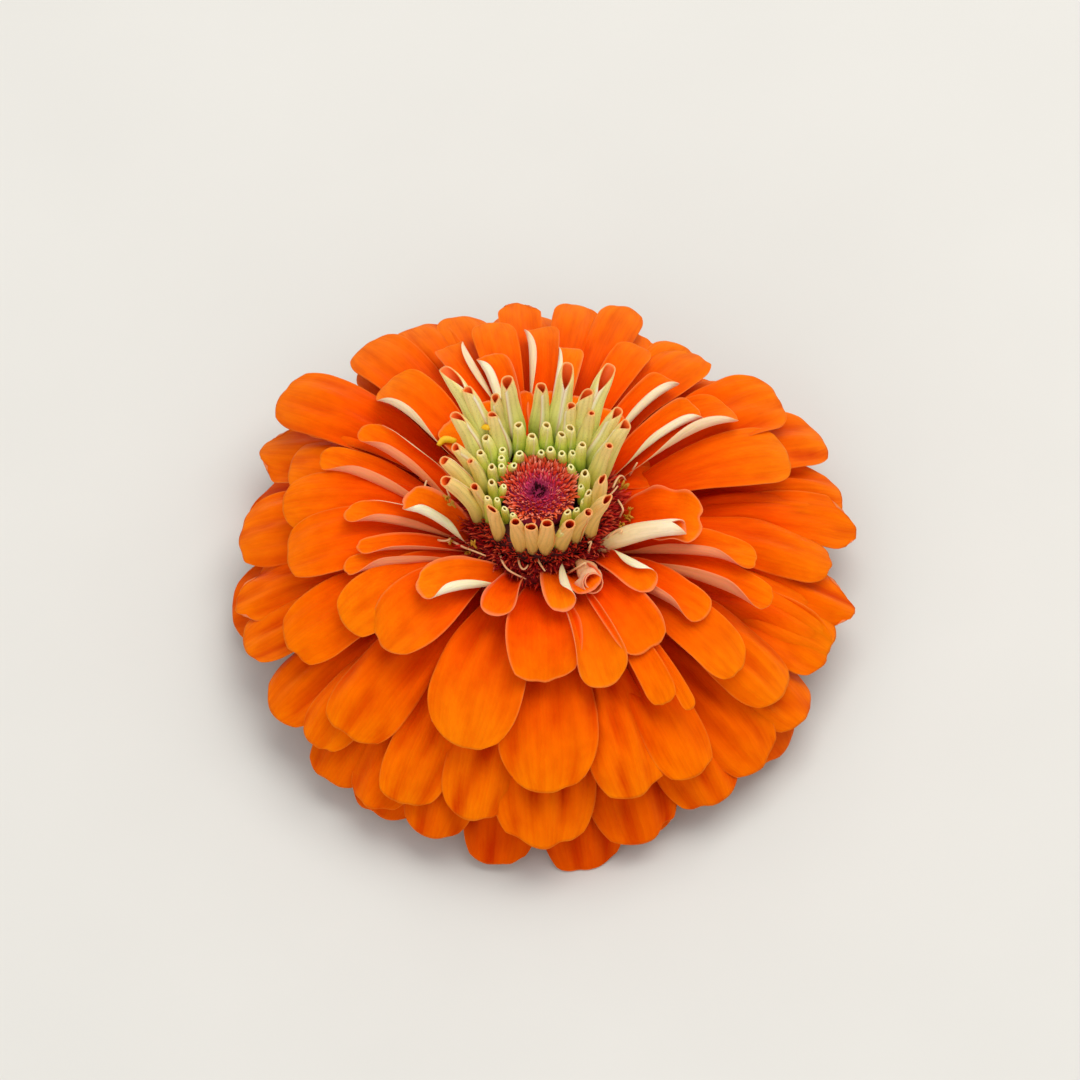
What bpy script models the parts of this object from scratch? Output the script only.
"""A double zinnia bloom, picked just under the head and set face up.

Metres, +Z up. The bloom rests on three of its lowest petal tips, on z = 0, and the
middle of its outline is at x = y = 0. Rolled young petals stand round the disc, and
the open petals lie in layers that step outwards and down to the green cup.
"""

import math
import random
from collections import namedtuple

import bmesh
import bpy
import numpy as np
from mathutils import Vector

MM = 0.001
SEED = 7

# The spiral that every ray floret sits on, counted from the disc outwards.
GOLDEN_ANGLE = math.radians(137.508)
SPIRAL_START = math.radians(20)

# Heights above the surface that the bloom rests on, in millimetres.
DISC_LEVEL = 34.5
DISC_EDGE = 33.0
DISC_BOTTOM = 31.5
COLLAR_TOP = 27.9
COLLAR_BOTTOM = 13.6
CUP_RIM = 13.0
CUP_BOTTOM = 5.8
STEM_CUT = 1.6

# The disc's middle, so that the middle of the whole outline is at x = y = 0.
HEAD_PLACE = (-0.87, 0.66)

# Radii in millimetres.
DISC_RADIUS = 5.5
STEM_RADIUS = 3.2
CUP_RADIUS = 12.3

# Lathe profiles, radius and height, down the outer side and back up the inner one.
PETAL_COLLAR = (
    (7.2, COLLAR_TOP),
    (11.1, 27.8),
    (12.0, 26.4),
    (12.4, 20.0),
    (12.5, 15.0),
    (12.1, COLLAR_BOTTOM),
    (8.3, COLLAR_BOTTOM),
)
QUILL_COLLAR = (
    (5.9, 32.3),
    (7.0, 32.3),
    (10.0, 29.6),
    (10.0, 28.4),
    (7.1, 28.4),
    (5.9, 30.9),
)
CHAFF_COLLAR = ((10.35, 29.3), (11.3, 28.9), (11.4, 28.25), (10.35, 28.25))
RECEPTACLE = (
    (0.0, 31.2),
    (5.2, 31.2),
    (6.6, 28.2),
    (7.5, 20.0),
    (7.9, 13.25),
    (10.8, 13.2),
    (10.8, 11.5),
    (0.0, 11.5),
)
CUP = (
    (11.2, CUP_RIM),
    (CUP_RADIUS, CUP_RIM),
    (CUP_RADIUS, 11.0),
    (11.0, 8.4),
    (7.5, 6.6),
    (3.4, CUP_BOTTOM),
    (0.0, CUP_BOTTOM),
    (0.0, 11.2),
    (11.2, 11.2),
)
DISC_DOME = (
    (0.0, 33.9),
    (2.0, 34.1),
    (4.0, 33.7),
    (DISC_RADIUS, 32.7),
    (DISC_RADIUS, DISC_BOTTOM),
    (0.0, DISC_BOTTOM),
)

# Rolled young petals by rule: how many, root radius, root height, length, radius.
SHORT_QUILLS = (18, 6.4, 32.3, 1.8, 0.58)
MIDDLE_QUILLS = (15, 7.35, 31.8, 5.2, 0.85)

DISC_SCALES = 66
CHAFF_SCALES = 32
CUP_SCALES = 8
SINK = 1.6

PETAL_THICKNESS = 0.62
FINE_COLUMNS = 24
HIDDEN_PETALS = 38
FILLERS = ((8, 0.12), (28, 0.05), (75, 0.04), (100, 0.05), (128, 0.05), (150, 0.06))

# Azimuths of the three lowest petals, whose tips are pressed flat on the surface.
REST_AZIMUTHS = (279, 38, 160)
REST_DIP = -0.3

# Each list runs from the youngest orange petal to the oldest. Tip levels are below
# the disc, and all lengths are in millimetres.
AGES = (0.0, 0.1, 0.2, 0.4, 0.6, 0.8, 1.0)
ROOT_RADIUS = (11.7, 11.9, 12.0, 12.2, 12.3, 12.4, 12.4)
ROOT_HEIGHT = (27.3, 26.2, 25.0, 22.6, 20.2, 17.7, 15.2)
TIP_RADIUS = (19.0, 24.5, 29.5, 37.5, 43.0, 47.0, 47.5)
TIP_DROP = (2.6, 4.4, 7.4, 12.6, 18.6, 26.0, 33.0)
RISE_AT_ROOT = (50.0, 44.0, 38.0, 28.0, 18.0, 8.0, 0.0)
TROUGH = (58.0, 46.0, 30.0, 4.0, -12.0, -16.0, -18.0)

# Where each petal's tip shows in the photo, its width there, and how far one edge
# folds over in degrees (plus: the edge on the counterclockwise side, seen from above).
PIXEL = 0.15
DISC_AT = (539, 488)
VIEW_ANGLE = math.radians(60)
TIPS_SEEN = (
    (497, 616, 30, 0), (565, 611, 34, 110), (417, 590, 42, 120), (592, 590, 30, 0),
    (385, 648, 78, 0), (343, 622, 62, 0), (284, 558, 74, 0), (281, 508, 64, 0),
    (288, 648, 76, 0), (230, 603, 70, 0), (236, 530, 90, 0), (243, 650, 80, 0),
    (345, 737, 80, 0), (460, 746, 96, 0), (312, 745, 62, 0), (268, 710, 80, 0),
    (322, 780, 70, 0), (368, 808, 74, 0), (402, 805, 70, 0), (468, 820, 74, 0),
    (492, 867, 76, 0), (424, 836, 76, 0), (546, 848, 106, 0), (552, 792, 101, 0),
    (545, 683, 80, 0), (605, 685, 56, 0), (650, 650, 60, 0),
    (637, 797, 80, 0), (667, 702, 32, 0), (695, 706, 16, 0), (698, 775, 66, 0),
    (652, 842, 96, 0), (716, 806, 84, 0), (742, 670, 58, 0), (708, 616, 48, 0),
    (786, 694, 76, 0), (774, 602, 44, 0), (758, 558, 44, 0), (654, 577, 34, 110),
    (688, 535, 34, 160), (704, 530, 66, 0), (793, 457, 66, 0), (846, 494, 66, 0),
    (836, 560, 66, 0), (836, 645, 70, 0), (860, 526, 60, 0), (858, 606, 78, 0),
    (830, 662, 70, 0), (806, 720, 80, 0), (764, 768, 76, 0), (783, 396, 82, 0),
    (828, 438, 72, 0), (732, 408, 50, -50), (703, 412, 40, -130), (670, 376, 36, -120),
    (640, 344, 38, 0), (697, 350, 56, 0), (684, 342, 46, 0), (628, 302, 48, 0),
    (580, 300, 48, 0), (572, 346, 26, 100), (543, 325, 36, 110), (516, 298, 44, 0),
    (486, 320, 46, 0), (490, 353, 34, 130), (455, 312, 56, 0), (412, 322, 58, 0),
    (450, 343, 34, -60), (362, 342, 64, 0), (381, 384, 60, 110), (275, 392, 76, 0),
    (304, 408, 66, 0), (257, 446, 76, 0), (358, 428, 36, -90), (318, 456, 46, 0),
    (403, 498, 38, 130), (343, 512, 42, -80), (356, 548, 34, 0), (343, 568, 36, 0),
)

# Where the end of each tall quill shows in the photo, how far it stands above the
# disc, and its radius there, in millimetres.
QUILLS_SEEN = (
    (445, 367, 12.0, 1.3), (469, 390, 11.0, 1.15), (508, 382, 12.0, 1.1),
    (497, 399, 9.0, 1.05), (457, 415, 9.0, 1.2), (494, 416, 8.0, 1.1),
    (457, 447, 8.0, 1.0), (446, 460, 9.0, 1.15), (473, 461, 6.0, 0.95),
    (447, 480, 9.2, 1.2), (476, 486, 5.5, 0.85), (541, 389, 9.5, 1.1),
    (567, 367, 12.0, 1.2), (570, 407, 8.0, 1.0), (586, 393, 10.0, 1.1),
    (609, 367, 12.5, 1.35), (589, 415, 7.5, 1.0), (616, 411, 9.0, 1.15),
    (624, 424, 10.0, 1.25), (606, 446, 8.0, 1.1), (600, 478, 8.5, 1.2),
    (606, 498, 9.0, 1.2), (493, 508, 6.0, 1.0), (516, 520, 7.5, 1.15),
    (531, 526, 6.5, 0.95), (547, 522, 7.5, 1.15), (569, 523, 7.5, 1.1),
    (587, 511, 8.0, 1.1),
)

Blade = namedtuple(
    "Blade",
    "azimuth radius height length half_width rise fall trough fold twist lean claw",
)


def clear_scene():
    for thing in list(bpy.data.objects):
        bpy.data.objects.remove(thing, do_unlink=True)
    for group in list(bpy.data.collections):
        bpy.data.collections.remove(group)


def collection(name):
    group = bpy.data.collections.new(name)
    bpy.context.scene.collection.children.link(group)
    return group


def material(name, colour, roughness):
    made = bpy.data.materials.new(name)
    made.use_nodes = True
    shader = made.node_tree.nodes["Principled BSDF"]
    shader.inputs["Base Color"].default_value = (*colour, 1)
    shader.inputs["Roughness"].default_value = roughness
    return made


def by_age(values, age):
    return float(np.interp(age, AGES, values))


def flat_outline(blade, rows):
    """The blade laid flat: how far across and how far along each grid point is."""
    u = np.linspace(-1, 1, FINE_COLUMNS + 1)[None, :]
    v = np.array(rows)[:, None]
    widest = 1 - min(0.5, 1.15 * blade.half_width / blade.length)
    share = np.clip(v / widest, 0, 1)
    width = blade.claw + (1 - blade.claw) * np.sin(share * math.pi / 2) ** 1.3
    cap = np.clip((v - widest) / (1 - widest), 0, 1)
    across = u * blade.half_width * width * np.sqrt(1 - 0.4 * cap**2)
    along = np.where(cap > 0, widest + (1 - widest) * cap * np.sqrt(1 - 0.4 * u**2), v)
    return across, along * blade.length


def bent_midrib(blade, along):
    """Run and rise of the midrib at each distance along it, and its slope there."""
    step = np.linspace(0, 1, 65)
    turn = (math.radians(blade.fall) - math.radians(blade.rise)) * step**1.2
    slope = math.radians(blade.rise) + turn
    length = blade.length / 64
    middle = (slope[1:] + slope[:-1]) / 2
    run = np.concatenate([[0], np.cumsum(np.cos(middle)) * length])
    rise = np.concatenate([[0], np.cumsum(np.sin(middle)) * length])
    share = along / blade.length
    return (
        np.interp(share, step, run),
        np.interp(share, step, rise),
        np.interp(share, step, slope),
    )


def rolled_section(blade, across, along):
    """Sideways and upward offset of each point once the section is rolled."""
    share = along / blade.length
    side = across / blade.half_width
    angle = np.radians(blade.trough) * side * (1.25 - 0.5 * share)
    over = np.clip(side * np.sign(blade.fold) - 0.35, 0, 1)
    window = np.sin(np.clip(share, 0, 1) * math.pi) ** 1.5
    angle = angle + math.radians(blade.fold) * over**1.2 * window
    width = np.diff(across, axis=1)
    mean = (angle[:, 1:] + angle[:, :-1]) / 2
    zero = np.zeros((len(across), 1))
    sideways = np.concatenate([zero, np.cumsum(np.cos(mean) * width, axis=1)], axis=1)
    upward = np.concatenate([zero, np.cumsum(np.sin(mean) * width, axis=1)], axis=1)
    half = across.shape[1] // 2
    return sideways - sideways[:, half : half + 1], upward - upward[:, half : half + 1]


def blade_points(blade, columns, rows):
    """Grid of points on the upper face of the blade, in millimetres."""
    across, along = flat_outline(blade, rows)
    run, rise, slope = bent_midrib(blade, along)
    sideways, upward = rolled_section(blade, across, along)
    share = along / blade.length
    twist = math.radians(blade.twist) * share
    lateral = sideways * np.cos(twist) - upward * np.sin(twist)
    normal = sideways * np.sin(twist) + upward * np.cos(twist)
    lateral = lateral + blade.lean * share**2
    out = blade.radius + run - normal * np.sin(slope)
    height = blade.height + rise + normal * np.cos(slope)
    cos, sin = math.cos(blade.azimuth), math.sin(blade.azimuth)
    x = out * cos - lateral * sin
    y = out * sin + lateral * cos
    return np.stack([x, y, height], axis=-1)[:, :: FINE_COLUMNS // columns]


def sheet(name, points):
    """A mesh of triangles over a grid of points, each quad split the same way."""
    count = points.shape[1]
    corners = [tuple(p) for p in (points * MM).reshape(-1, 3)]
    faces = []
    for row in range(points.shape[0] - 1):
        for column in range(count - 1):
            a = row * count + column
            b, c, d = a + 1, a + count + 1, a + count
            faces += [(a, b, c), (a, c, d)]
    mesh = bpy.data.meshes.new(name)
    mesh.from_pydata(corners, [], faces)
    return bpy.data.objects.new(name, mesh)


def thicken(thing, thickness):
    solid = thing.modifiers.new("Thickness", "SOLIDIFY")
    solid.thickness = thickness * MM
    solid.offset = 1.0
    solid.use_even_offset = False
    solid.use_quality_normals = True
    return thing


def baked(thing, name):
    """A plain mesh object from what the modifiers make, and the source removed."""
    graph = bpy.context.evaluated_depsgraph_get()
    mesh = bpy.data.meshes.new_from_object(thing.evaluated_get(graph))
    bpy.data.objects.remove(thing, do_unlink=True)
    made = bpy.data.objects.new(name, mesh)
    return made


def ring(name, profile, steps):
    """A solid of revolution. The profile is (radius, height) down the outer side."""
    mesh = bpy.data.meshes.new(name)
    corners = [(r * MM, 0, z * MM) for r, z in profile]
    touches_axis = profile[0][0] == 0
    count = len(corners)
    edges = [(i, i + 1) for i in range(count - 1)]
    if not touches_axis:
        edges.append((count - 1, 0))
    mesh.from_pydata(corners, edges, [])
    thing = bpy.data.objects.new(name, mesh)
    turn = thing.modifiers.new("Turn", "SCREW")
    turn.axis = "Z"
    turn.steps = steps
    turn.render_steps = steps
    turn.use_merge_vertices = True
    turn.merge_threshold = 0.00001
    bpy.context.scene.collection.objects.link(thing)
    made = baked(thing, name)
    return made


def outward(thing):
    work = bmesh.new()
    work.from_mesh(thing.data)
    bmesh.ops.recalc_face_normals(work, faces=work.faces)
    work.to_mesh(thing.data)
    work.free()


def fuse(body, extras, solver="MANIFOLD"):
    """Joins the extras to the body with one union, then removes them."""
    group = collection(body.name + "_pieces")
    for extra in extras:
        group.objects.link(extra)
    bpy.context.scene.collection.objects.link(body)
    join = body.modifiers.new("Join", "BOOLEAN")
    join.operation = "UNION"
    join.operand_type = "COLLECTION"
    join.collection = group
    join.solver = solver
    made = baked(body, body.name)
    for extra in list(group.objects):
        bpy.data.objects.remove(extra, do_unlink=True)
    bpy.data.collections.remove(group)
    return one_body(made)


def signed_volume(faces):
    return sum(f.verts[0].co.dot(f.verts[1].co.cross(f.verts[2].co)) for f in faces)


def one_body(thing):
    """Keeps the largest closed shell: sealed hollows are filled, scraps dropped."""
    work = bmesh.new()
    work.from_mesh(thing.data)
    bmesh.ops.triangulate(work, faces=work.faces)
    left = set(work.faces)
    shells = []
    while left:
        stack = [left.pop()]
        shell = []
        while stack:
            face = stack.pop()
            shell.append(face)
            for edge in face.edges:
                for other in edge.link_faces:
                    if other in left:
                        left.remove(other)
                        stack.append(other)
        shells.append(shell)
    keep = max(shells, key=signed_volume)
    spare = [face for shell in shells if shell is not keep for face in shell]
    bmesh.ops.delete(work, geom=spare, context="FACES")
    loose = [corner for corner in work.verts if not corner.link_faces]
    bmesh.ops.delete(work, geom=loose, context="VERTS")
    work.to_mesh(thing.data)
    work.free()
    return thing


def trim(thing, box_centre, box_size):
    """Cuts away what lies inside a box, so that low tips get a flat spot."""
    work = bmesh.new()
    bmesh.ops.create_cube(work, size=1)
    bmesh.ops.scale(work, vec=Vector(box_size) * MM, verts=work.verts)
    bmesh.ops.translate(work, vec=Vector(box_centre) * MM, verts=work.verts)
    mesh = bpy.data.meshes.new("Floor_cut")
    work.to_mesh(mesh)
    work.free()
    cutter = bpy.data.objects.new("Floor_cut", mesh)
    bpy.context.scene.collection.objects.link(thing)
    bpy.context.scene.collection.objects.link(cutter)
    cut = thing.modifiers.new("Cut", "BOOLEAN")
    cut.operation = "DIFFERENCE"
    cut.object = cutter
    cut.solver = "MANIFOLD"
    name = thing.name
    made = baked(thing, name)
    bpy.data.objects.remove(cutter, do_unlink=True)
    return made


def solid_blade(name, blade, columns, rows, thickness):
    thing = sheet(name, blade_points(blade, columns, rows))
    bpy.context.scene.collection.objects.link(thing)
    made = baked(thicken(thing, thickness), name)
    outward(made)
    return made


def azimuth_of(index):
    return SPIRAL_START + index * GOLDEN_ANGLE


def unit_chord(rise, fall):
    """Run and rise of a midrib one unit long that turns from rise to fall."""
    step = np.linspace(0, 1, 33)
    slope = np.radians(rise + (fall - rise) * step**1.2)
    return float(np.cos(slope).mean()), float(np.sin(slope).mean())


def fall_and_length(run, drop, rise):
    """The end slope and length that take a midrib from its root to its tip."""
    goal = math.atan2(-drop, run)
    low, high = -170.0, rise
    for _ in range(40):
        middle = (low + high) / 2
        across, up = unit_chord(rise, middle)
        if math.atan2(up, across) > goal:
            high = middle
        else:
            low = middle
    across, up = unit_chord(rise, low)
    return low, math.hypot(run, drop) / math.hypot(across, up)


def tip_from_photo(column, row):
    """Azimuth, radius and age of the petal whose tip shows at this pixel."""
    x = (column - DISC_AT[0]) * PIXEL
    v = (DISC_AT[1] - row) * PIXEL
    best = None
    for age in np.linspace(0, 1, 201):
        drop = by_age(TIP_DROP, age)
        y = (v + drop * math.cos(VIEW_ANGLE)) / math.sin(VIEW_ANGLE)
        miss = math.hypot(x, y) - by_age(TIP_RADIUS, age)
        cost = abs(miss) + 10 * age
        if best is None or cost < best[0]:
            best = (cost, age, x, y)
        if miss < 0 and age > 0.02:
            best = (0, age, x, y)
            break
    _, age, x, y = best
    return math.atan2(y, x), math.hypot(x, y), age


def petal(azimuth, tip_radius, age, half_width, fold, draw, tip_height=None):
    """One orange petal from its place on the head to its tip."""
    rise = by_age(RISE_AT_ROOT, age) + draw.uniform(-2, 2)
    root_radius = by_age(ROOT_RADIUS, age) - SINK * math.cos(math.radians(rise))
    root_height = by_age(ROOT_HEIGHT, age) - SINK * math.sin(math.radians(rise))
    if tip_height is None:
        tip_height = DISC_LEVEL - by_age(TIP_DROP, age)
    run, drop = tip_radius - root_radius, root_height - tip_height
    fall, length = fall_and_length(run, drop, rise)
    return Blade(
        azimuth=azimuth,
        radius=root_radius,
        height=root_height,
        length=length,
        half_width=half_width,
        rise=rise,
        fall=fall,
        trough=by_age(TROUGH, age) + draw.uniform(-5, 5),
        fold=fold,
        twist=draw.uniform(-5, 5),
        lean=draw.uniform(-0.8, 0.8),
        claw=0.34,
    )


def orange_blades():
    """The petals that the photo shows, then the hidden ones by the spiral."""
    draw = random.Random(SEED)
    blades = []
    for column, row, width, fold in TIPS_SEEN:
        azimuth, radius, age = tip_from_photo(column, row)
        blades.append(petal(azimuth, radius, age, width * PIXEL / 2, fold, draw))
    for degrees, age in FILLERS:
        radius = by_age(TIP_RADIUS, age) - 1.5
        blades.append(petal(math.radians(degrees), radius, age, 2.9, 0, draw))
    for degrees in REST_AZIMUTHS:
        resting = petal(math.radians(degrees), 47.2, 1.0, 6.2, 0, draw, REST_DIP)
        blades.append(resting._replace(trough=-4, twist=0, lean=0))
    for index in range(HIDDEN_PETALS):
        age = 0.62 + 0.38 * index / (HIDDEN_PETALS - 1)
        degrees = math.degrees(azimuth_of(index)) % 360
        if age < 0.88 and not 20 < degrees < 160:
            continue
        if age > 0.75 and min(abs(degrees - rest) for rest in REST_AZIMUTHS) < 9:
            continue
        radius = by_age(TIP_RADIUS, age) * draw.uniform(0.93, 0.99)
        width = draw.uniform(6.2, 7.4)
        blades.append(petal(math.radians(degrees), radius, age, width, 0, draw))
    return blades


Quill = namedtuple("Quill", "azimuth radius height length foot tip lean curl")


def quill_from_photo(column, row, rise, thick, draw):
    """The tall quill whose end shows at this pixel."""
    x = (column - DISC_AT[0]) * PIXEL
    v = (DISC_AT[1] - row) * PIXEL
    y = (v - rise * math.cos(VIEW_ANGLE)) / math.sin(VIEW_ANGLE)
    outer = rise >= 9
    radius = 9.0 if outer else 8.2
    height = (30.0 if outer else 30.9) - SINK
    run = math.hypot(x, y) - radius
    climb = DISC_LEVEL + rise - height
    chord = math.degrees(math.atan2(run, climb))
    curl = draw.uniform(-6, 10) if chord < 16 else 1.3 * (chord - 10)
    lean = chord - 0.75 * curl
    reach = math.hypot(run, climb)
    return Quill(math.atan2(y, x), radius, height, reach, 0.8, thick, lean, curl)


def quills():
    """The tall quills that the photo shows, then the inner ring by rule."""
    draw = random.Random(SEED + 1)
    found = [quill_from_photo(*seen, draw) for seen in QUILLS_SEEN]
    count, radius, height, length, thick = MIDDLE_QUILLS
    for number in range(count):
        turn = math.tau * (number + draw.uniform(-0.08, 0.08)) / count
        reach = length * draw.uniform(0.75, 1.2) + SINK
        lean = draw.uniform(2, 10)
        tip = thick * draw.uniform(0.85, 1.0)
        found.append(
            Quill(turn, radius, height - SINK, reach, 0.72, tip, lean, draw.uniform(-4, 6))
        )
    return found


def tube(name, quill, sides):
    """A tapered tube in two lengths with a sunk end, from a grid of rings."""
    out = Vector((math.cos(quill.azimuth), math.sin(quill.azimuth), 0))
    side = Vector((-out.y, out.x, 0))
    middle = out * quill.radius + Vector((0, 0, quill.height))
    work = bmesh.new()
    rings = []
    for share, width in ((0, quill.foot), (0.5, quill.tip * 1.06), (1, quill.tip)):
        lean = math.radians(quill.lean + quill.curl * share)
        way = out * math.sin(lean) + Vector((0, 0, math.cos(lean)))
        if share:
            middle = middle + way * quill.length / 2
        wide = way.cross(side)
        points = []
        for number in range(sides):
            angle = math.tau * number / sides
            offset = side * math.cos(angle) + wide * math.sin(angle)
            points.append(work.verts.new((middle + offset * width) * MM))
        rings.append(points)
    for below, above in zip(rings, rings[1:]):
        for number in range(sides):
            after = (number + 1) % sides
            quad = (below[number], below[after], above[after], above[number])
            work.faces.new(quad)
    work.faces.new(rings[0])
    end = work.faces.new(rings[-1])
    bmesh.ops.inset_region(work, faces=[end], thickness=quill.tip * 0.36 * MM)
    for corner in end.verts:
        corner.co -= way * 0.7 * MM
    bmesh.ops.recalc_face_normals(work, faces=work.faces)
    mesh = bpy.data.meshes.new(name)
    work.to_mesh(mesh)
    work.free()
    return bpy.data.objects.new(name, mesh)


def spike(name, place, direction, radius, length, sides, tip_share=0.0):
    """A small tapered spike or stub that starts at a place and points outwards."""
    work = bmesh.new()
    bmesh.ops.create_cone(
        work,
        cap_ends=True,
        cap_tris=False,
        segments=sides,
        radius1=radius * MM,
        radius2=radius * tip_share * MM,
        depth=length * MM,
    )
    bmesh.ops.translate(work, vec=(0, 0, length * MM / 2), verts=work.verts)
    turn = Vector(direction).to_track_quat("Z", "Y").to_matrix()
    bmesh.ops.rotate(work, matrix=turn, verts=work.verts)
    bmesh.ops.translate(work, vec=Vector(place) * MM, verts=work.verts)
    mesh = bpy.data.meshes.new(name)
    work.to_mesh(mesh)
    work.free()
    return bpy.data.objects.new(name, mesh)


def leaning(azimuth, degrees):
    """Unit vector that leans outwards from upright by some degrees."""
    lean = math.radians(degrees)
    side = math.sin(lean)
    return (side * math.cos(azimuth), side * math.sin(azimuth), math.cos(lean))


def at(radius, azimuth, height):
    return (radius * math.cos(azimuth), radius * math.sin(azimuth), height)


def disc():
    """A low dome covered in pointed scales that lean outwards from its middle."""
    body = ring("disc", DISC_DOME, 20)
    outward(body)
    pieces = []
    for index in range(DISC_SCALES):
        share = math.sqrt((index + 0.6) / DISC_SCALES)
        azimuth = index * GOLDEN_ANGLE
        radius = share * (DISC_RADIUS - 0.35)
        level = float(np.interp(radius, (0, 2, 4, 5.5), (33.9, 34.1, 33.7, 32.7)))
        place = at(radius * 0.94, azimuth, level - 0.45)
        way = leaning(azimuth, 8 + 26 * share)
        length = 1.35 + 0.35 * share
        pieces.append(spike(f"Scale_{index:03d}", place, way, 0.55, length, 4))
    return fuse(body, pieces)


def young_petals():
    """Quills in rings on their own collar, and short stubs next to the disc."""
    body = ring("young_petals", QUILL_COLLAR, 24)
    outward(body)
    pieces = []
    for number, quill in enumerate(quills()):
        pieces.append(tube(f"Quill_{number:03d}", quill, 5))
    draw = random.Random(SEED + 2)
    count, radius, height, length, width = SHORT_QUILLS
    for index in range(count):
        azimuth = math.tau * (index + 0.5 + draw.uniform(-0.1, 0.1)) / count
        place = at(radius + draw.uniform(-0.05, 0.05), azimuth, height - 1.1)
        way = leaning(azimuth, draw.uniform(1, 10))
        reach = length * draw.uniform(0.75, 1.25) + 1.1
        pieces.append(spike(f"Stub_{index:03d}", place, way, width, reach, 5, 0.95))
    return fuse(body, pieces)


def chaff_ring():
    """Pointed scales round the feet of the quills, fused to a narrow collar."""
    body = ring("chaff_ring", CHAFF_COLLAR, 24)
    outward(body)
    draw = random.Random(SEED + 3)
    pieces = []
    for index in range(CHAFF_SCALES):
        azimuth = math.tau * (index + draw.uniform(-0.2, 0.2)) / CHAFF_SCALES
        place = at(10.85 + draw.uniform(-0.08, 0.08), azimuth, 28.55)
        way = leaning(azimuth, draw.uniform(-2, 14))
        length = draw.uniform(1.8, 2.7)
        pieces.append(spike(f"Chaff_{index:03d}", place, way, 0.55, length, 4))
    return fuse(body, pieces)


def ray_petals():
    body = ring("ray_petals", PETAL_COLLAR, 28)
    outward(body)
    pieces = []
    for number, blade in enumerate(orange_blades()):
        name = f"Petal_{number:03d}"
        plain = number >= len(TIPS_SEEN) or blade.length < 21
        rows = (0, 0.42, 0.76, 1.0) if plain else (0, 0.3, 0.56, 0.8, 1.0)
        columns = 4 if blade.fold or blade.trough > 25 else 2
        pieces.append(solid_blade(name, blade, columns, rows, PETAL_THICKNESS))
    made = fuse(body, pieces)
    return trim(made, (0, 0, -15), (130, 130, 30))


def receptacle():
    made = ring("receptacle", RECEPTACLE, 24)
    outward(made)
    return made


def involucre():
    """A green cup with two rows of rounded scales, each row over the one above."""
    body = ring("involucre", CUP, 16)
    outward(body)
    rows = ((6.8, 6.3, 7.4, 26, 66), (10.6, 7.8, 5.3, 58, 84))
    pieces = []
    for row, (radius, height, length, rise, fall) in enumerate(rows):
        for number in range(CUP_SCALES):
            scale = Blade(
                azimuth=math.tau * (number + 0.5 * (row % 2)) / CUP_SCALES,
                radius=radius,
                height=height,
                length=length,
                half_width=3.9,
                rise=rise,
                fall=fall,
                trough=18,
                fold=0,
                twist=0,
                lean=0,
                claw=0.6,
            )
            name = f"Cup_{row}_{number}"
            pieces.append(solid_blade(name, scale, 2, (0, 0.5, 1.0), 0.7))
    return fuse(body, pieces)


def stem():
    profile = [(0, CUP_BOTTOM - 0.3), (3.3, CUP_BOTTOM - 0.3)]
    profile += [(STEM_RADIUS, STEM_CUT), (0, STEM_CUT)]
    made = ring("stem", profile, 24)
    outward(made)
    return made


def finish(thing, head, finish_material):
    """Seats a part on the head with its own material, shaded smooth."""
    thing.data.materials.clear()
    thing.data.materials.append(finish_material)
    for face in thing.data.polygons:
        face.use_smooth = True
    for owner in list(thing.users_collection):
        owner.objects.unlink(thing)
    head.users_collection[0].objects.link(thing)
    thing.parent = head


def main():
    clear_scene()
    head = bpy.data.objects.new("Head", None)
    head.location = (HEAD_PLACE[0] * MM, HEAD_PLACE[1] * MM, 0)
    collection("Zinnia_bloom").objects.link(head)
    finish(ray_petals(), head, material("Petal_orange", (0.9, 0.13, 0.0), 0.5))
    finish(young_petals(), head, material("Quill_cream", (0.62, 0.55, 0.24), 0.5))
    finish(disc(), head, material("Disc_red", (0.45, 0.02, 0.03), 0.55))
    finish(chaff_ring(), head, material("Chaff_red", (0.25, 0.01, 0.01), 0.55))
    finish(receptacle(), head, material("Receptacle_pale", (0.6, 0.6, 0.35), 0.6))
    finish(involucre(), head, material("Involucre_green", (0.1, 0.25, 0.05), 0.6))
    finish(stem(), head, material("Stem_green", (0.13, 0.3, 0.06), 0.6))


main()
